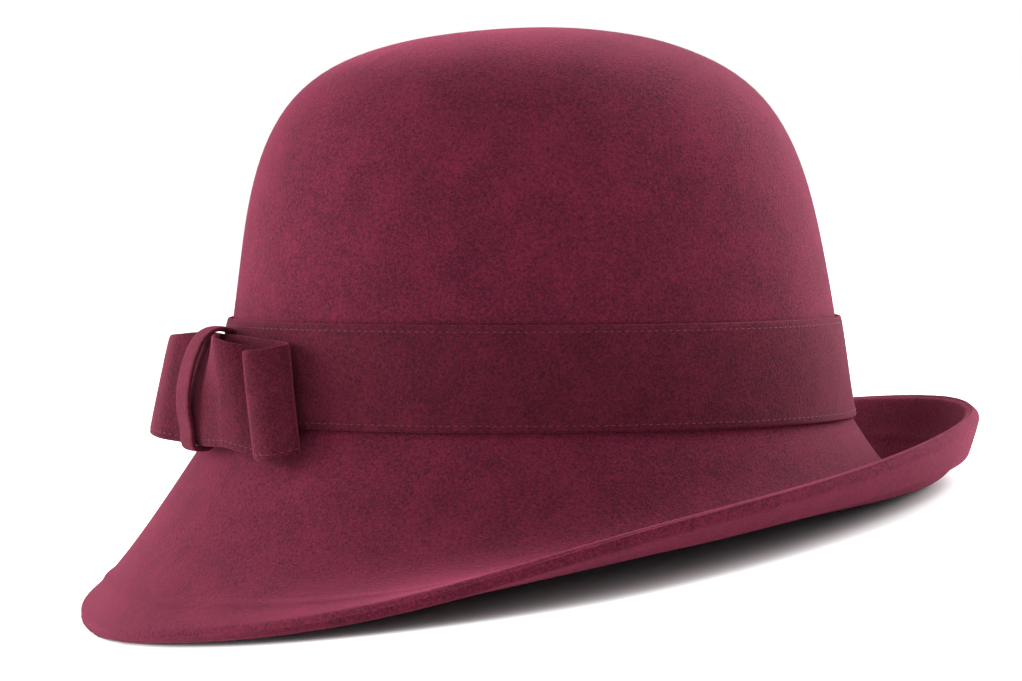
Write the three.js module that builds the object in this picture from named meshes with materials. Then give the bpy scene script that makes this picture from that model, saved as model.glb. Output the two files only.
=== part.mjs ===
// A cloche hat of blocked wool felt: one hood (crown, brim and turned-under hem) with a felt band
// round the crown and a flat felt bow at the front, a little to the wearer's left.
//
// Millimetres, +Z up. The hat lies on its brim as it would on a table: its front points to -X, its
// origin is on the table under the middle of its box.
//
// The pieces are worked out upright, as worn, around a vertical crown axis, with z = 0 where the
// brim leaves the crown. An azimuth runs round that axis from the front, 0, to the back, 180
// degrees, positive on the wearer's left (-Y). The group then leans the hat back onto its brim.

import * as THREE from 'three';

// ---- Driving dimensions ----

const FELT = 2.2; // thickness of the hood's felt
const TRIM_FELT = 1.8; // thickness of the band's and the bow's felt
const GAP = 0.3; // clearance between pieces that touch
const OVAL_RATIO = 0.85; // width over length of every crown section
const BASE_HALF_LENGTH = 103.4; // outside of the crown where the brim starts

// Outside of the crown, from the tip down. setBack moves a section towards the back of the head.
const CROWN_SECTIONS = [
  { height: 126.4, halfLength: 0, setBack: 4 },
  { height: 125.8, halfLength: 16, setBack: 2.5 },
  { height: 123.5, halfLength: 35, setBack: 0.7 },
  { height: 120, halfLength: 49, setBack: -1.2 },
  { height: 114, halfLength: 64.4, setBack: -2 },
  { height: 104, halfLength: 77.1, setBack: -2 },
  { height: 91, halfLength: 85.2, setBack: -1.8 },
  { height: 78, halfLength: 89.9, setBack: -1.4 },
  { height: 65, halfLength: 93, setBack: -1 },
  { height: 52, halfLength: 95.2, setBack: -0.5 },
  { height: 36, halfLength: 97.7, setBack: 0 },
  { height: 16, halfLength: 100.5, setBack: 0 },
  { height: 4, halfLength: 102.2, setBack: 0 },
  { height: 0, halfLength: BASE_HALF_LENGTH, setBack: 0 },
];

// The brim, every 30 degrees from front to back: its width along the felt from the crown to the
// fold, and the angle of its edge above the horizontal. It falls at the front and turns up behind.
const BRIM_SECTIONS = [
  { azimuth: 0, width: 75, edgeAngle: -55 },
  { azimuth: 30, width: 79, edgeAngle: -36 },
  { azimuth: 60, width: 83.5, edgeAngle: -8 },
  { azimuth: 90, width: 81, edgeAngle: 28 },
  { azimuth: 120, width: 63, edgeAngle: 45 },
  { azimuth: 150, width: 59, edgeAngle: 70 },
  { azimuth: 180, width: 59.5, edgeAngle: 82 },
];
const BRIM_STEP = 30; // degrees between those rows
const BRIM_SLOPE = -56.4; // angle at which the brim leaves the crown
const TURN_START = 0.19; // share of the width where the brim starts to turn up
const EDGE_FLAT = 5.1; // straight stretch next to the fold
const HEM_WIDTH = 12; // felt turned under along the edge
const HEM_THICKNESS = 4.7; // both layers of the hem
const FOLD_RADIUS = 2.6; // the fold is a little fatter than the hem

const BAND_BOTTOM = 0.5; // lower edge of the band
const BAND_TOP = 33; // upper edge of the band

const BOW_AZIMUTH = 9.6; // the bow's middle
const BOW_BOTTOM = -6.3; // lower and upper edge of its ribbon at the knot
const BOW_TOP = 28.2;
const LOOP_FLARE = 5; // the loops reach this much further along their lower edge, and less above
const LOOP_REACH = 42; // from the knot's middle to the loops' ends
// Offsets from the crown's base oval of the plane that the bow lies against
const BOW_BACK_BOTTOM = 6;
const BOW_BACK_TOP = -1.3;

// The bow's ribbon is one closed strip. Its middle line is seen from above: along runs round the hat
// from the knot, positive to the wearer's left. lowOut and topOut are how far its two edges stand
// off the plane behind the bow, bulge is how far its middle stands out past them, and lowFall and
// topFall are how far the edges fall below their height at the knot.
const RIBBON = [
  { along: 0, lowOut: 5.1, topOut: 6.3, bulge: 4.2, lowFall: 0, topFall: -1 }, // front, under the knot
  { along: 5, lowOut: 5.1, topOut: 6.5, bulge: 4, lowFall: 0, topFall: -1 },
  { along: 10, lowOut: 4.8, topOut: 10.6, bulge: 0.4, lowFall: -0.2, topFall: -0.8 },
  { along: 14, lowOut: 4.4, topOut: 13, bulge: -1.2, lowFall: -0.4, topFall: -0.2 },
  { along: 16.8, lowOut: 4.4, topOut: 13.8, bulge: -1.4, lowFall: -0.4, topFall: 0 }, // left loop's crest
  { along: 21.4, lowOut: 4, topOut: 11.8, bulge: -1.2, lowFall: 0.4, topFall: 1.1 },
  { along: 26.2, lowOut: 3, topOut: 7.2, bulge: -0.8, lowFall: 1.4, topFall: 2.4 },
  { along: 28.6, lowOut: 2.7, topOut: 5.2, bulge: -0.6, lowFall: 1.8, topFall: 3 }, // its dent
  { along: 30.1, lowOut: 4.6, topOut: 9.4, bulge: 0.4, lowFall: 2.2, topFall: 3.3 },
  { along: 32.8, lowOut: 7.4, topOut: 13.6, bulge: 0, lowFall: 2.7, topFall: 3.6 }, // second crest
  { along: 36.6, lowOut: 7.4, topOut: 12.4, bulge: 0.3, lowFall: 2.6, topFall: 3.3 },
  { along: 39.9, lowOut: 5.2, topOut: 8.8, bulge: 0.6, lowFall: 1.4, topFall: 2.4 },
  { along: 41.7, lowOut: 3.2, topOut: 4.6, bulge: 0.6, lowFall: 0.5, topFall: 1.7 }, // its end
  { along: 40.2, lowOut: 1.1, topOut: 1.6, bulge: 0.2, lowFall: 0.2, topFall: 1.3 },
  { along: 36, lowOut: 0.8, topOut: 0.8, bulge: 0, lowFall: 0, topFall: 0.9 },
  { along: 26, lowOut: 0.8, topOut: 0.8, bulge: 0, lowFall: 0, topFall: 0.5 },
  { along: 14, lowOut: 1.4, topOut: 1.4, bulge: 0, lowFall: 0, topFall: -0.2 },
  { along: 5.5, lowOut: 3.1, topOut: 3.1, bulge: 0, lowFall: 0, topFall: -0.5 }, // over the knot's back
  { along: -5.5, lowOut: 3.1, topOut: 3.1, bulge: 0, lowFall: 0, topFall: -0.5 },
  { along: -14, lowOut: 1.4, topOut: 1.4, bulge: 0, lowFall: 0, topFall: -0.2 },
  { along: -28, lowOut: 0.8, topOut: 0.8, bulge: 0, lowFall: -1.2, topFall: 0.3 },
  { along: -38, lowOut: 1, topOut: 1, bulge: 0, lowFall: -2, topFall: 0.5 },
  { along: -42, lowOut: 5, topOut: 4.5, bulge: 0, lowFall: -2.4, topFall: 0.6 }, // right loop's end
  { along: -39, lowOut: 11, topOut: 10, bulge: 0, lowFall: -2.5, topFall: 0.6 },
  { along: -31, lowOut: 14.6, topOut: 14.4, bulge: 0, lowFall: -2.5, topFall: 0.6 },
  { along: -22, lowOut: 15.6, topOut: 15.6, bulge: 0, lowFall: -2.2, topFall: 0.6 }, // its crest
  { along: -14, lowOut: 13, topOut: 14.6, bulge: 0.6, lowFall: -1.2, topFall: 0 },
  { along: -9.5, lowOut: 7.8, topOut: 11.2, bulge: 2.2, lowFall: -0.4, topFall: -0.7 },
  { along: -5, lowOut: 5.1, topOut: 6.5, bulge: 4, lowFall: 0, topFall: -1 },
];

const KNOT_WIDTH = 10;
// The knot is a narrower strip wrapped round the ribbon: its middle line in the upright plane through
// the bow's middle, as a height and an offset from the plane behind the bow.
const KNOT = [
  { height: 30.6, offset: 3 },
  { height: 30.8, offset: 7.4 },
  { height: 28.7, offset: 10.7 },
  { height: 23, offset: 12.6 },
  { height: 15.5, offset: 13.2 },
  { height: 8.2, offset: 12.5 },
  { height: 2.4, offset: 10.8 },
  { height: -1.2, offset: 9.3 },
  { height: -5, offset: 8.3 },
  { height: -7.5, offset: 7 },
  { height: -8, offset: 4.4 },
  { height: -7.8, offset: 2 },
  { height: -6.6, offset: 0.9 },
  { height: 10, offset: 0.9 },
  { height: 29.6, offset: 0.9 },
];

const REST_LEAN = 9.3; // the hat leans back by this much when it lies on its brim
const REST_SQUASH = 1; // how far the brim is pressed flat where it meets the table

// ---- Fineness of the facets ----

const AROUND = 72; // round the hat
const BRIM_RINGS = 10;
const FOLD_RINGS = 6;
const STEPS_PER_ROW = 3; // round the closed paths of the ribbon and the knot
const RIBBON_SHARES = [0, 0.5, 1]; // lines of corners across the ribbon

// ---- Ovals and sections ----

const rad = THREE.MathUtils.degToRad;
const azimuths = Array.from({ length: AROUND }, (_, i) => (i * 360) / AROUND);

// A point of an oval of this half length, and the way straight out of it.
function oval(azimuth, halfLength) {
  const cos = Math.cos(rad(azimuth));
  const sin = Math.sin(rad(azimuth));
  const point = new THREE.Vector3(-halfLength * cos, -halfLength * OVAL_RATIO * sin, 0);
  const out = new THREE.Vector3(-cos, -sin / OVAL_RATIO, 0).normalize();
  return { point, out };
}

// The outside of the crown, which passes through every row of the table from the tip down.
const crownLine = new THREE.CatmullRomCurve3(
  CROWN_SECTIONS.map((s) => new THREE.Vector3(s.halfLength, s.setBack, s.height)),
  false,
  'centripetal',
);

function crownPoint(azimuth, row) {
  const section = crownLine.getPoint(row / (CROWN_SECTIONS.length - 1));
  const { point } = oval(azimuth, section.x);
  return point.add(new THREE.Vector3(section.y, 0, section.z));
}

// The half length of the crown's outside at a height below the shoulders.
function crownHalfLength(height) {
  const below = CROWN_SECTIONS.findIndex((s) => s.height <= height);
  const [upper, lower] = [CROWN_SECTIONS[below - 1], CROWN_SECTIONS[below]];
  return THREE.MathUtils.mapLinear(height, lower.height, upper.height, lower.halfLength, upper.halfLength);
}

// A column of BRIM_SECTIONS at any azimuth, the same on both sides of the hat.
function brimValue(column, azimuth) {
  const turned = Math.abs(((azimuth + 180) % 360) - 180) / BRIM_STEP;
  const last = BRIM_SECTIONS.length - 1;
  const row = Math.min(Math.floor(turned), last - 1);
  const value = (i) => BRIM_SECTIONS[i < 0 ? -i : i > last ? 2 * last - i : i][column];
  const t = turned - row;
  const [before, from, to, after] = [row - 1, row, row + 1, row + 2].map(value);
  const slopes = [(to - before) / 2, (after - from) / 2];
  const t2 = t * t;
  const t3 = t2 * t;
  return (
    (2 * t3 - 3 * t2 + 1) * from + (t3 - 2 * t2 + t) * slopes[0] +
    (3 * t2 - 2 * t3) * to + (t3 - t2) * slopes[1]
  );
}

// The brim's upper side at one azimuth, from the crown to the fold: each point with the way along
// the felt and the way out of it.
function brimSection(azimuth, rings) {
  const { point, out } = oval(azimuth, BASE_HALF_LENGTH);
  const width = brimValue('width', azimuth);
  const edgeAngle = brimValue('edgeAngle', azimuth);
  const angleAt = (distance) => {
    const turn = (distance - TURN_START * width) / (width - EDGE_FLAT - TURN_START * width);
    return rad(BRIM_SLOPE + (edgeAngle - BRIM_SLOPE) * THREE.MathUtils.smoothstep(turn, 0, 1));
  };
  const fineSteps = 8; // within each ring, so that the curve doesn't depend on the facets
  const step = width / rings / fineSteps;
  const section = [];
  for (let i = 0; i <= rings * fineSteps; i += 1) {
    const angle = angleAt(i * step);
    if (i % fineSteps === 0) {
      const along = out.clone().multiplyScalar(Math.cos(angle)).setZ(Math.sin(angle));
      const up = out.clone().multiplyScalar(-Math.sin(angle)).setZ(Math.cos(angle));
      section.push({ point: point.clone(), along, up, distance: i * step });
    }
    const middle = angleAt((i + 0.5) * step);
    point.addScaledVector(out, Math.cos(middle) * step);
    point.z += Math.sin(middle) * step;
  }
  return section;
}

// ---- Closed meshes from rings of points ----

function geometryOf(points, triangles) {
  const geometry = new THREE.BufferGeometry();
  geometry.setAttribute('position', new THREE.Float32BufferAttribute(points.flatMap((p) => p.toArray()), 3));
  geometry.setIndex(triangles.flat());
  geometry.computeVertexNormals();
  return geometry;
}

function quad(a, b, c, d) {
  return [[a, b, c], [a, c, d]];
}

// Strips between neighbouring rings of equal length. closed joins the last ring to the first.
function skin(rings, closed) {
  const size = rings[0].length;
  const triangles = [];
  const count = closed ? rings.length : rings.length - 1;
  for (let r = 0; r < count; r += 1) {
    const next = (r + 1) % rings.length;
    for (let i = 0; i < size; i += 1) {
      const j = (i + 1) % size;
      triangles.push(...quad(r * size + i, next * size + i, next * size + j, r * size + j));
    }
  }
  return triangles;
}

// ---- The hood ----

function pressedFlat(points) {
  const lean = new THREE.Matrix4().makeRotationY(rad(REST_LEAN));
  const heights = points.map((p) => p.clone().applyMatrix4(lean).z);
  const floor = Math.min(...heights) + REST_SQUASH;
  const back = lean.clone().invert();
  const flat = points.map((p, i) => {
    const leaned = p.clone().applyMatrix4(lean);
    leaned.z = Math.max(heights[i], floor);
    return leaned.applyMatrix4(back);
  });
  return { flat, floor };
}

function hood() {
  const tip = crownPoint(0, 0);
  const crownRows = CROWN_SECTIONS.map((_, row) => row).slice(1);
  const nudge = 0.1;
  const inward = (azimuth, row) => {
    const down = crownPoint(azimuth, row).sub(crownPoint(azimuth, row - nudge));
    const round = crownPoint(azimuth + 1, row).sub(crownPoint(azimuth - 1, row));
    return round.cross(down).normalize();
  };
  const columns = azimuths.map((azimuth) => {
    const outside = crownRows.map((row) => crownPoint(azimuth, row));
    const inside = crownRows.map((row, i) => outside[i].clone().addScaledVector(inward(azimuth, row), FELT));
    const brim = brimSection(azimuth, BRIM_RINGS);
    const edge = brim[BRIM_RINGS];
    const top = brim.slice(1, BRIM_RINGS);
    const foldCentre = edge.point.clone().addScaledVector(edge.up, 0.2 - FOLD_RADIUS);
    const fold = Array.from({ length: FOLD_RINGS + 1 }, (_, i) => {
      const turn = (Math.PI * i) / FOLD_RINGS;
      return foldCentre.clone()
        .addScaledVector(edge.along, FOLD_RADIUS * Math.sin(turn))
        .addScaledVector(edge.up, FOLD_RADIUS * Math.cos(turn));
    });
    const width = edge.distance;
    const hem = brimAt(brim, width - HEM_WIDTH);
    const hemMiddle = brimAt(brim, width - HEM_WIDTH / 2);
    const under = [
      hemMiddle.point.clone().addScaledVector(hemMiddle.up, -HEM_THICKNESS),
      hem.point.clone().addScaledVector(hem.up, -HEM_THICKNESS),
      hem.point.clone().addScaledVector(hem.up, -FELT),
    ];
    return { outside, inside, top: top.map((s) => s.point), fold, under, brim, width };
  });
  const rings = [];
  const addRing = (pick) => rings.push(columns.map(pick));
  for (let r = 0; r < crownRows.length; r += 1) addRing((c) => c.outside[r]);
  for (let r = 0; r < BRIM_RINGS - 1; r += 1) addRing((c) => c.top[r]);
  for (let r = 0; r <= FOLD_RINGS; r += 1) addRing((c) => c.fold[r]);
  for (let r = 0; r < 3; r += 1) addRing((c) => c.under[r]);
  const bareRings = BRIM_RINGS - 3;
  for (let r = bareRings; r >= 1; r -= 1) {
    addRing((c) => {
      const at = brimAt(c.brim, ((c.width - HEM_WIDTH) * r) / (bareRings + 1));
      return at.point.clone().addScaledVector(at.up, -FELT);
    });
  }
  for (let r = crownRows.length - 1; r >= 0; r -= 1) addRing((c) => c.inside[r]);

  const points = rings.flat();
  const size = AROUND;
  const triangles = skin(rings, false);
  const outerTip = points.push(tip) - 1;
  const innerTip = points.push(tip.clone().setZ(tip.z - FELT)) - 1;
  const lastRing = (rings.length - 1) * size;
  for (let i = 0; i < size; i += 1) {
    const j = (i + 1) % size;
    triangles.push([outerTip, i, j]);
    triangles.push([innerTip, lastRing + j, lastRing + i]);
  }
  return { points, triangles };
}

// A point of the brim's section at any distance from the crown.
function brimAt(section, distance) {
  const after = Math.max(1, section.findIndex((s) => s.distance >= distance));
  const [from, to] = [section[after - 1], section[after]];
  const t = (distance - from.distance) / (to.distance - from.distance);
  return {
    point: from.point.clone().lerp(to.point, t),
    up: from.up.clone().lerp(to.up, t).normalize(),
  };
}

// ---- The band ----

function band() {
  const heights = [BAND_BOTTOM, 4, 16, BAND_TOP];
  const ring = (height, off) => azimuths.map((azimuth) => {
    const { point, out } = oval(azimuth, crownHalfLength(height));
    return point.addScaledVector(out, off).setZ(height);
  });
  const rings = [
    ...heights.map((h) => ring(h, GAP + TRIM_FELT)).reverse(),
    ...heights.map((h) => ring(h, GAP)),
  ];
  return geometryOf(rings.flat(), skin(rings, true));
}

// ---- The bow ----

// The azimuth at a distance round the base oval from the bow's middle.
function azimuthAlong(along) {
  const steps = 24;
  const width = BASE_HALF_LENGTH * OVAL_RATIO;
  let azimuth = rad(BOW_AZIMUTH);
  for (let i = 0; i < steps; i += 1) {
    azimuth += along / steps / Math.hypot(BASE_HALF_LENGTH * Math.sin(azimuth), width * Math.cos(azimuth));
  }
  return THREE.MathUtils.radToDeg(azimuth);
}

// A point in front of the plane behind the bow.
function bowPoint(along, height, offset) {
  const { point, out } = oval(azimuthAlong(along), BASE_HALF_LENGTH);
  const back = THREE.MathUtils.mapLinear(height, BOW_BOTTOM, BOW_TOP, BOW_BACK_BOTTOM, BOW_BACK_TOP);
  return point.addScaledVector(out, back + offset).setZ(height);
}

// Points of a closed curve through these corners, each with the way to its left.
function closedPath(corners) {
  const curve = new THREE.CatmullRomCurve3(corners, true, 'centripetal');
  const steps = corners.length * STEPS_PER_ROW;
  return Array.from({ length: steps }, (_, i) => {
    const point = curve.getPoint(i / steps);
    const tangent = curve.getTangent(i / steps);
    return { point, left: new THREE.Vector3(-tangent.y, tangent.x, 0).normalize() };
  });
}

// The ribbon's edge or middle at this share of its width, from the lower edge up, as both its sides.
function ribbonLine(share) {
  const half = TRIM_FELT / 2;
  const between = (row, low, top) => THREE.MathUtils.lerp(row[low], row[top], share);
  const corners = RIBBON.map((row) => new THREE.Vector3(
    row.along * (1 + ((LOOP_FLARE * Math.abs(row.along)) / LOOP_REACH ** 2) * (1 - 2 * share)),
    between(row, 'lowOut', 'topOut') + row.bulge * 4 * share * (1 - share),
    between(row, 'lowFall', 'topFall'),
  ));
  const height = THREE.MathUtils.lerp(BOW_BOTTOM, BOW_TOP, share);
  return closedPath(corners).map(({ point, left }) => [half, -half].map((side) => (
    bowPoint(point.x + left.x * side, height - point.z, point.y + left.y * side)
  )));
}

function ribbon() {
  const lines = RIBBON_SHARES.map(ribbonLine);
  const upwards = (step, side) => lines.map((line) => line[step][side]);
  const rings = lines[0].map((_, step) => [...upwards(step, 0), ...upwards(step, 1).reverse()]);
  return geometryOf(rings.flat(), skin(rings, true));
}

function knot() {
  const half = TRIM_FELT / 2;
  const path = closedPath(KNOT.map((k) => new THREE.Vector3(k.offset, k.height, 0)));
  const rings = path.map(({ point, left }) => {
    const at = (along, side) => bowPoint(along, point.y + left.y * side, point.x + left.x * side);
    return [
      at(-KNOT_WIDTH / 2, half), at(KNOT_WIDTH / 2, half),
      at(KNOT_WIDTH / 2, -half), at(-KNOT_WIDTH / 2, -half),
    ];
  });
  return geometryOf(rings.flat(), skin(rings, true));
}

// ---- The hat ----

const burgundyFelt = () => new THREE.MeshStandardMaterial({ color: 0x6e1433, roughness: 0.95, metalness: 0 });

function piece(name, geometry) {
  const mesh = new THREE.Mesh(geometry, burgundyFelt());
  mesh.name = name;
  return mesh;
}

const hoodShape = hood();
const { flat, floor } = pressedFlat(hoodShape.points);

const hat = new THREE.Group();
hat.add(piece('felt_hood', geometryOf(flat, hoodShape.triangles)));
hat.add(piece('hat_band', band()));
hat.add(piece('bow_ribbon', ribbon()));
hat.add(piece('bow_knot', knot()));
hat.rotation.y = rad(REST_LEAN);
hat.updateMatrixWorld(true);
const box = new THREE.Box3().setFromObject(hat, true);
const middle = box.getCenter(new THREE.Vector3());
hat.position.set(-middle.x, -middle.y, -floor);

export default hat;
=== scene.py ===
# A burgundy cloche hat of blocked wool felt, lying on its brim on a white studio floor. The sections
# follow the hat as a milliner makes it: the hood, the band, then the bow and its knot. Each strip's
# stitching is with the strip.
# Metres, +Z up. The hat's front points to -X and its left side, with the bow, to -Y.

from math import cos, exp, radians, sin

import bmesh
import bpy
from mathutils import Matrix, Vector
from mathutils.kdtree import KDTree


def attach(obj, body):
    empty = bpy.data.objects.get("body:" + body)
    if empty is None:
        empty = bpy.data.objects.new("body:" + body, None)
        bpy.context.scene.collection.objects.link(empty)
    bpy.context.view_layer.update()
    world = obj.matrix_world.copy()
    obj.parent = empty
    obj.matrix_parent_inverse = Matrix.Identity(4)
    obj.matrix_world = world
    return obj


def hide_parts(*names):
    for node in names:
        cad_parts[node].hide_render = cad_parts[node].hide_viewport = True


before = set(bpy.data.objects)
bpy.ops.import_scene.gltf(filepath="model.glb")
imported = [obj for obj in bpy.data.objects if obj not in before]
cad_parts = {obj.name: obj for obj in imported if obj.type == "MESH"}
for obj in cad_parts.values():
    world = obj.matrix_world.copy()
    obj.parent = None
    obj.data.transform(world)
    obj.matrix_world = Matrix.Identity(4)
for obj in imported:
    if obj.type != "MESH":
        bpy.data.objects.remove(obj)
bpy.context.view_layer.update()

MM = 0.001

# ---- The hood ----
# The crown, brim and hem are one hood of thick wool felt, steamed, pulled over a wooden block and
# stiffened a little. Its edge is turned under by 12 mm and sewn, so that the hem's raw edge shows
# underneath and prints through faintly on top.

SHARP_ANGLE = radians(50)  # a corner steeper than this is an edge that was cut
HOOD_CUT_ROUNDING = 0.5 * MM
HEM_PRINT = 0.6 * MM  # how far the hem's raw edge lifts the felt above it
HEM_PRINT_WIDTH = 1.6 * MM
HEM_DEPTH = 3 * MM  # the hem's raw edge lies at least this deep under the felt that it lifts
SURFACE_LEVELS = 2
MANY_EDGES = 20  # a corner with more edges than this is the middle of the crown's tip
FIBRE_MM = 0.8  # the felt's grain, from the finest to the broadest
NAP_MM = 0.65
NAP_HEIGHT = 0.35 * MM
MILLING_MM = 6
MILLING_HEIGHT = 0.5 * MM
FIBRE_SHARE = 0.85  # how much of the colour's unevenness is fibres, and how much is clouds
CLOUD_SHARE = 0.15
DYE_LOW = 0.4  # the pattern's values that take the deep and the worn colour
DYE_HIGH = 0.6


def merged_copy(node):
    """The node's shape as quads."""
    shape = bmesh.new()
    shape.from_mesh(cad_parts[node].data)
    bmesh.ops.remove_doubles(shape, verts=shape.verts, dist=0.002 * MM)
    fans = {f for v in shape.verts if len(v.link_edges) > MANY_EDGES for f in v.link_faces}
    bmesh.ops.join_triangles(
        shape,
        faces=[f for f in shape.faces if f not in fans],
        angle_face_threshold=radians(60),
        angle_shape_threshold=radians(120),
    )
    return shape


def cut_edges(shape):
    """The edges along which the felt was cut, in the mesh's own order."""
    return [e for e in shape.edges if e.calc_face_angle_signed() > SHARP_ANGLE]


def cut_loops(shape):
    """Those edges as closed loops of corners, each in order."""
    waiting = cut_edges(shape)
    loops = []
    while waiting:
        loop = list(waiting.pop(0).verts)
        while True:
            following = next((e for e in loop[-1].link_edges if e in waiting), None)
            if following is None:
                break
            waiting.remove(following)
            loop.append(following.other_vert(loop[-1]))
        loops.append(loop[:-1])
    return loops


def smooth_piece(name, shape, cut_rounding):
    """A new object with that shape, its cut edges rounded a little, made smooth."""
    bmesh.ops.bevel(
        shape, geom=cut_edges(shape), offset=cut_rounding, offset_type="OFFSET", segments=1,
        affect="EDGES", profile=0.5, material=-1,
    )
    mesh = bpy.data.meshes.new(name)
    shape.to_mesh(mesh)
    shape.free()
    mesh.shade_smooth()
    piece = bpy.data.objects.new(name, mesh)
    bpy.context.scene.collection.objects.link(piece)
    surface = piece.modifiers.new("smooth felt", "SUBSURF")
    surface.levels = SURFACE_LEVELS
    surface.render_levels = SURFACE_LEVELS
    return piece


def linear(hex_colour):
    """An sRGB colour such as "#6e1433" as linear red, green, blue and alpha."""
    channels = [int(hex_colour[i:i + 2], 16) / 255 for i in (1, 3, 5)]
    return [c / 12.92 if c <= 0.04045 else ((c + 0.055) / 1.055) ** 2.4 for c in channels] + [1]


def add_node(tree, kind, settings=None, inputs=None):
    """A new node with its settings, and its inputs set to values or linked to other sockets."""
    node = tree.nodes.new(kind)
    for name, value in (settings or {}).items():
        setattr(node, name, value)
    for name, value in (inputs or {}).items():
        if isinstance(value, bpy.types.NodeSocket):
            tree.links.new(value, node.inputs[name])
        else:
            node.inputs[name].default_value = value
    return node


def per_metre(size_mm):
    """The scale of a noise texture whose cells are this many millimetres across."""
    return 1 / (size_mm * MM)


def wool_felt(name, deep, worn, cloud_mm):
    """Milled wool felt: matted fibres with no weave, matt face on, paler and pinker at a low angle."""
    material = bpy.data.materials.new(name)
    material.use_nodes = True
    tree = material.node_tree
    shader = tree.nodes["Principled BSDF"]
    place = add_node(tree, "ShaderNodeTexCoord").outputs["Object"]
    # The dye takes unevenly: short fibres that lie this way and that, and broad faint clouds.
    fibres = add_node(
        tree, "ShaderNodeTexNoise", None,
        {"Vector": place, "Scale": per_metre(FIBRE_MM), "Detail": 4.0, "Roughness": 0.75, "Distortion": 0.8},
    )
    clouds = add_node(
        tree, "ShaderNodeTexNoise", None,
        {"Vector": place, "Scale": per_metre(cloud_mm), "Detail": 2.0, "Roughness": 0.5},
    )
    faint = add_node(
        tree, "ShaderNodeMath", {"operation": "MULTIPLY"}, {0: clouds.outputs["Fac"], 1: CLOUD_SHARE},
    )
    dye = add_node(
        tree, "ShaderNodeMath", {"operation": "MULTIPLY_ADD"},
        {0: fibres.outputs["Fac"], 1: FIBRE_SHARE, 2: faint.outputs["Value"]},
    )
    colour = add_node(tree, "ShaderNodeValToRGB", None, {"Fac": dye.outputs["Value"]})
    ends = [(DYE_LOW, deep), (DYE_HIGH, worn)]
    for element, (position, hex_colour) in zip(colour.color_ramp.elements, ends):
        element.position = position
        element.color = linear(hex_colour)
    tree.links.new(colour.outputs["Color"], shader.inputs["Base Color"])
    # The nap: fibre ends two thirds of a millimetre apart, over slightly uneven milling.
    nap = add_node(
        tree, "ShaderNodeTexNoise", None,
        {"Vector": place, "Scale": per_metre(NAP_MM), "Detail": 3.0, "Roughness": 0.7},
    )
    rough = add_node(
        tree, "ShaderNodeBump", None,
        {"Height": nap.outputs["Fac"], "Strength": 1.0, "Distance": NAP_HEIGHT},
    )
    milling = add_node(
        tree, "ShaderNodeTexNoise", None,
        {"Vector": place, "Scale": per_metre(MILLING_MM), "Detail": 2.0, "Roughness": 0.5},
    )
    uneven = add_node(
        tree, "ShaderNodeBump", None,
        {"Height": milling.outputs["Fac"], "Strength": 0.2, "Distance": MILLING_HEIGHT,
         "Normal": rough.outputs["Normal"]},
    )
    tree.links.new(uneven.outputs["Normal"], shader.inputs["Normal"])
    shader.inputs["Roughness"].default_value = 0.95
    shader.inputs["Specular IOR Level"].default_value = 0.1
    shader.inputs["Sheen Weight"].default_value = 0.42
    shader.inputs["Sheen Roughness"].default_value = 0.3
    shader.inputs["Sheen Tint"].default_value = linear("#ee6c92")
    return material


def hem_edge_tree(shape):
    """The hem's raw edge as closely spaced points that can be searched."""
    steps = 12  # between neighbouring corners
    loop = [v.co.copy() for v in cut_loops(shape)[0]]
    points = [a.lerp(b, i / steps) for a, b in zip(loop, loop[1:] + loop[:1]) for i in range(steps)]
    tree = KDTree(len(points))
    for index, point in enumerate(points):
        tree.insert(point, index)
    tree.balance()
    return tree


def apply_surface(piece):
    """Makes the smoothed surface the piece's own mesh."""
    bpy.context.view_layer.update()
    evaluated = piece.evaluated_get(bpy.context.evaluated_depsgraph_get())
    piece.data = bpy.data.meshes.new_from_object(evaluated)
    piece.modifiers.clear()


def print_hem_through(piece, raw_edge):
    """Lifts the felt that lies over the hem's raw edge."""
    for vertex, normal in zip(piece.data.vertices, [n.vector.copy() for n in piece.data.vertex_normals]):
        away = vertex.co - raw_edge.find(vertex.co)[0]
        depth = away.dot(normal)
        if depth > HEM_DEPTH:
            sideways = (away - normal * depth).length
            vertex.co += normal * HEM_PRINT * exp(-(sideways / HEM_PRINT_WIDTH) ** 2)


hood_shape = merged_copy("felt_hood")
raw_edge = hem_edge_tree(hood_shape)
hood = smooth_piece("felt_hood_blocked", hood_shape, HOOD_CUT_ROUNDING)
apply_surface(hood)
print_hem_through(hood, raw_edge)
hood.data.materials.append(wool_felt("burgundy_hood_felt", "#3a0f1d", "#661d32", 14))
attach(hood, "root")
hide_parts("felt_hood")

# ---- The band ----
# A straight strip of thinner felt, 33 mm wide, cut with a knife and drawn tight round the foot of
# the crown. A running stitch along both edges holds it, in thread of the same colour.

TRIM_CUT_ROUNDING = 0.55 * MM
SEAM_INSET = 2.1 * MM
STITCH_PITCH = 2.4 * MM
STITCH_LENGTH = 1.5 * MM
THREAD_RADIUS = 0.16 * MM


def seam_lines(shape):
    """A line along the outside of a strip near each of its two edges, as closed lists of points."""
    def length_round(loop):
        return sum((a.co - b.co).length for a, b in zip(loop, loop[1:] + loop[:1]))

    def inset(corner):
        across = max(
            (e for e in corner.link_edges if e.calc_face_angle() < SHARP_ANGLE),
            key=lambda e: e.calc_length(),
        ).other_vert(corner)
        return corner.co + (across.co - corner.co).normalized() * SEAM_INSET

    by_height = sorted(cut_loops(shape), key=lambda loop: sum(v.co.z for v in loop) / len(loop))
    outer = [max(pair, key=length_round) for pair in (by_height[:2], by_height[2:])]
    return [[inset(corner) for corner in loop] for loop in outer]


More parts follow.
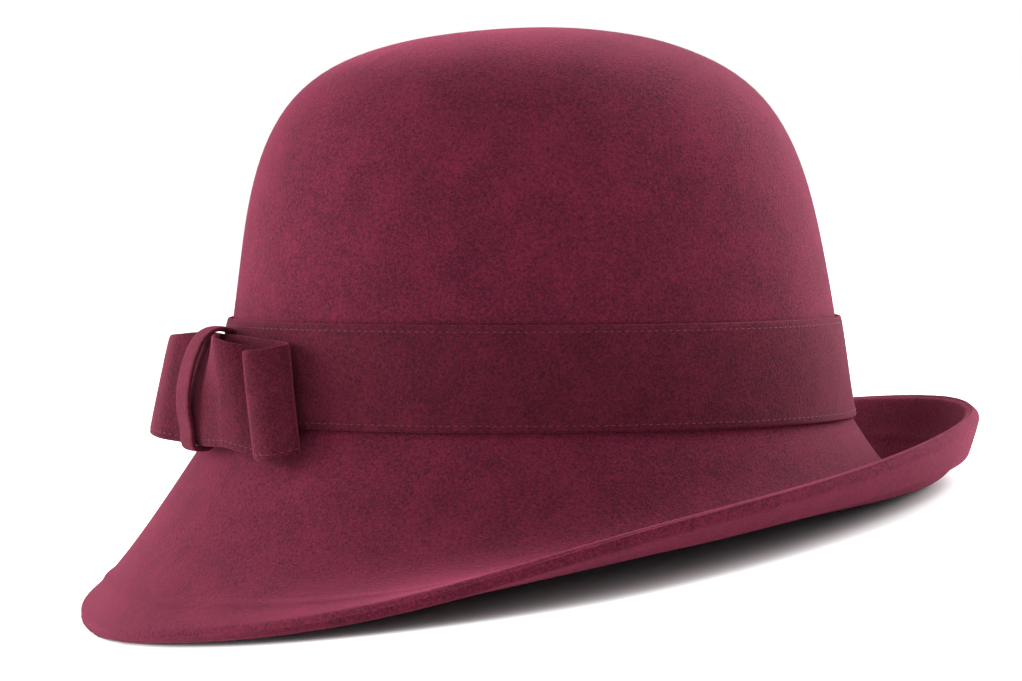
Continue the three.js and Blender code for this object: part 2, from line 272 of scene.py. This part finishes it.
def sew(name, piece, lines, thread):
    """A running stitch along those lines, on the piece's smoothed surface."""
    bpy.context.view_layer.update()
    surface = piece.evaluated_get(bpy.context.evaluated_depsgraph_get())
    shape = bmesh.new()
    for line in lines:
        ends = line[1:] + line[:1]
        lengths = [(b - a).length for a, b in zip(line, ends)]
        count = round(sum(lengths) / STITCH_PITCH)
        pitch = sum(lengths) / count
        walked = 0.0
        made = 0
        for start, end, length in zip(line, ends, lengths):
            while made < count and made * pitch < walked + length:
                place = start.lerp(end, (made * pitch - walked) / length)
                found, on_felt, outwards, _ = surface.closest_point_on_mesh(place)
                along = (end - start).normalized()
                across = outwards.cross(along).normalized()
                turned = Matrix((along, across, outwards)).transposed().to_4x4()
                size = Matrix.Diagonal((STITCH_LENGTH / 2, THREAD_RADIUS, THREAD_RADIUS, 1))
                bmesh.ops.create_uvsphere(
                    shape, u_segments=6, v_segments=5, radius=1,
                    matrix=Matrix.Translation(on_felt) @ turned @ size,
                )
                made += 1
            walked += length
    mesh = bpy.data.meshes.new(name)
    shape.to_mesh(mesh)
    shape.free()
    mesh.shade_smooth()
    mesh.materials.append(thread)
    stitches = bpy.data.objects.new(name, mesh)
    bpy.context.scene.collection.objects.link(stitches)
    return stitches


def polyester_thread(name, colour):
    """Spun polyester sewing thread: a smooth, slightly shiny line of the felt's own colour."""
    material = bpy.data.materials.new(name)
    material.use_nodes = True
    shader = material.node_tree.nodes["Principled BSDF"]
    shader.inputs["Base Color"].default_value = linear(colour)
    shader.inputs["Roughness"].default_value = 0.55
    shader.inputs["Specular IOR Level"].default_value = 0.3
    return material


trim_felt = wool_felt("burgundy_trim_felt", "#330d17", "#59192a", 9)
thread = polyester_thread("burgundy_thread", "#571c2c")
band_shape = merged_copy("hat_band")
band_seams = seam_lines(band_shape)
band = smooth_piece("hat_band_felt", band_shape, TRIM_CUT_ROUNDING)
band_stitches = sew("band_stitches", band, band_seams, thread)
band.data.materials.append(trim_felt)
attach(band, "root")
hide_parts("hat_band")
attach(band_stitches, "root")

# ---- The bow ----
# One strip of the band's felt with the same two rows of stitches, folded into two flat loops and
# caught in the middle. The left loop is pinched into a deep dent, which gives it two crests.

bow_shape = merged_copy("bow_ribbon")
bow_seams = seam_lines(bow_shape)
bow = smooth_piece("bow_loops", bow_shape, TRIM_CUT_ROUNDING)
bow_stitches = sew("bow_stitches", bow, bow_seams, thread)
bow.data.materials.append(trim_felt)
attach(bow, "root")
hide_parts("bow_ribbon")
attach(bow_stitches, "root")

# ---- The knot ----
# A narrower strip of the same felt, wrapped once round the middle of the bow and sewn behind it.

LEAN = radians(9.3)  # the hat leans back by this much
KNOT_DRAWN_IN = 0.97  # the knot is drawn tight over the ribbon's two edges


def draw_tight(shape, share):
    """Makes the shape lower about its middle, along the hat's own upright."""
    up_hat = Vector((sin(LEAN), 0, cos(LEAN)))
    heights = [v.co.dot(up_hat) for v in shape.verts]
    middle = (min(heights) + max(heights)) / 2
    for vertex, height in zip(shape.verts, heights):
        vertex.co += up_hat * (middle - height) * (1 - share)


knot_shape = merged_copy("bow_knot")
draw_tight(knot_shape, KNOT_DRAWN_IN)
knot = smooth_piece("bow_wrap", knot_shape, TRIM_CUT_ROUNDING)
knot.data.materials.append(trim_felt)
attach(knot, "root")
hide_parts("bow_knot")

# ---- The camera ----
# It looks at the hat's left side from a little in front, level with the band. Its place is worked
# out for the hat worn upright and then leaned back with the hat.

BAND_ABOVE_BRIM = 0.5 * MM  # the band's lower edge stands this far above the foot of the crown
FOOT_SLACK = 0.1 * MM
VIEW_DISTANCE = 1.3
VIEW_TURN = radians(11.75)  # towards the hat's front
VIEW_HEIGHT = radians(3.4)
VIEW_ROLL = radians(-0.1)
AIM_RIGHT = -8 * MM  # the middle of the picture, from the middle of the crown's foot
AIM_UP = 24.9 * MM
LENS = 141.0
SENSOR = 36.0

lean = Matrix.Rotation(LEAN, 4, "Y")
upright_band = [lean.inverted() @ v.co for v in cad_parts["hat_band"].data.vertices]
band_foot = min(p.z for p in upright_band)
foot_points = [p for p in upright_band if p.z < band_foot + FOOT_SLACK]
crown_foot = Vector((
    (min(p.x for p in foot_points) + max(p.x for p in foot_points)) / 2,
    0,
    band_foot - BAND_ABOVE_BRIM,
))
towards_camera = Vector((
    -sin(VIEW_TURN) * cos(VIEW_HEIGHT),
    -cos(VIEW_TURN) * cos(VIEW_HEIGHT),
    sin(VIEW_HEIGHT),
))
level_right = (-towards_camera).cross(Vector((0, 0, 1))).normalized()
level_up = level_right.cross(-towards_camera)
right = level_right * cos(VIEW_ROLL) + level_up * sin(VIEW_ROLL)
up = level_up * cos(VIEW_ROLL) - level_right * sin(VIEW_ROLL)
eye = crown_foot + towards_camera * VIEW_DISTANCE
forward = (crown_foot + right * AIM_RIGHT + up * AIM_UP - eye).normalized()
right = forward.cross(up).normalized()
up = right.cross(forward)

camera_data = bpy.data.cameras.new("camera")
camera_data.lens = LENS
camera_data.sensor_width = SENSOR
camera = bpy.data.objects.new("camera", camera_data)
bpy.context.scene.collection.objects.link(camera)
facing = Matrix((right, up, -forward)).transposed().to_4x4()
camera.matrix_world = lean @ Matrix.Translation(eye) @ facing
bpy.context.scene.camera = camera

# ---- The studio ----
# A wide white floor under an even white sky, with soft boxes at both sides and above, as in a light
# tent. The side boxes stand a little behind the hat, so they light its outline more than its face.

FLOOR_RADIUS = 6.0
BOX_SIZE = 1.0
HAT_MIDDLE = Vector((0, 0, 0.08))

disc = bmesh.new()
bmesh.ops.create_circle(disc, cap_ends=True, segments=96, radius=FLOOR_RADIUS)
floor_mesh = bpy.data.meshes.new("studio_floor")
disc.to_mesh(floor_mesh)
disc.free()
floor = bpy.data.objects.new("studio_floor", floor_mesh)
bpy.context.scene.collection.objects.link(floor)
floor_paint = bpy.data.materials.new("matt_white_paint")
floor_paint.use_nodes = True
floor_shader = floor_paint.node_tree.nodes["Principled BSDF"]
floor_shader.inputs["Base Color"].default_value = linear("#ffffff")
floor_shader.inputs["Roughness"].default_value = 0.9
floor_mesh.materials.append(floor_paint)

sky = bpy.data.worlds.new("white_sky")
sky.use_nodes = True
sky.node_tree.nodes["Background"].inputs["Color"].default_value = (1, 1, 1, 1)
sky.node_tree.nodes["Background"].inputs["Strength"].default_value = 1.0
bpy.context.scene.world = sky
bpy.context.scene.view_settings.view_transform = "Standard"


def soft_box(name, place, watts):
    """A square soft light that faces the hat."""
    light = bpy.data.lights.new(name, "AREA")
    light.size = BOX_SIZE
    light.energy = watts
    lamp = bpy.data.objects.new(name, light)
    lamp.location = place
    aim = HAT_MIDDLE - Vector(place)
    lamp.rotation_euler = aim.to_track_quat("-Z", "Y").to_euler()
    bpy.context.scene.collection.objects.link(lamp)


soft_box("left_box", (-1.4, 0.5, 0.5), 42)
soft_box("right_box", (1.3, 0.5, 0.6), 44)
soft_box("top_box", (0, -0.2, 1.6), 5)
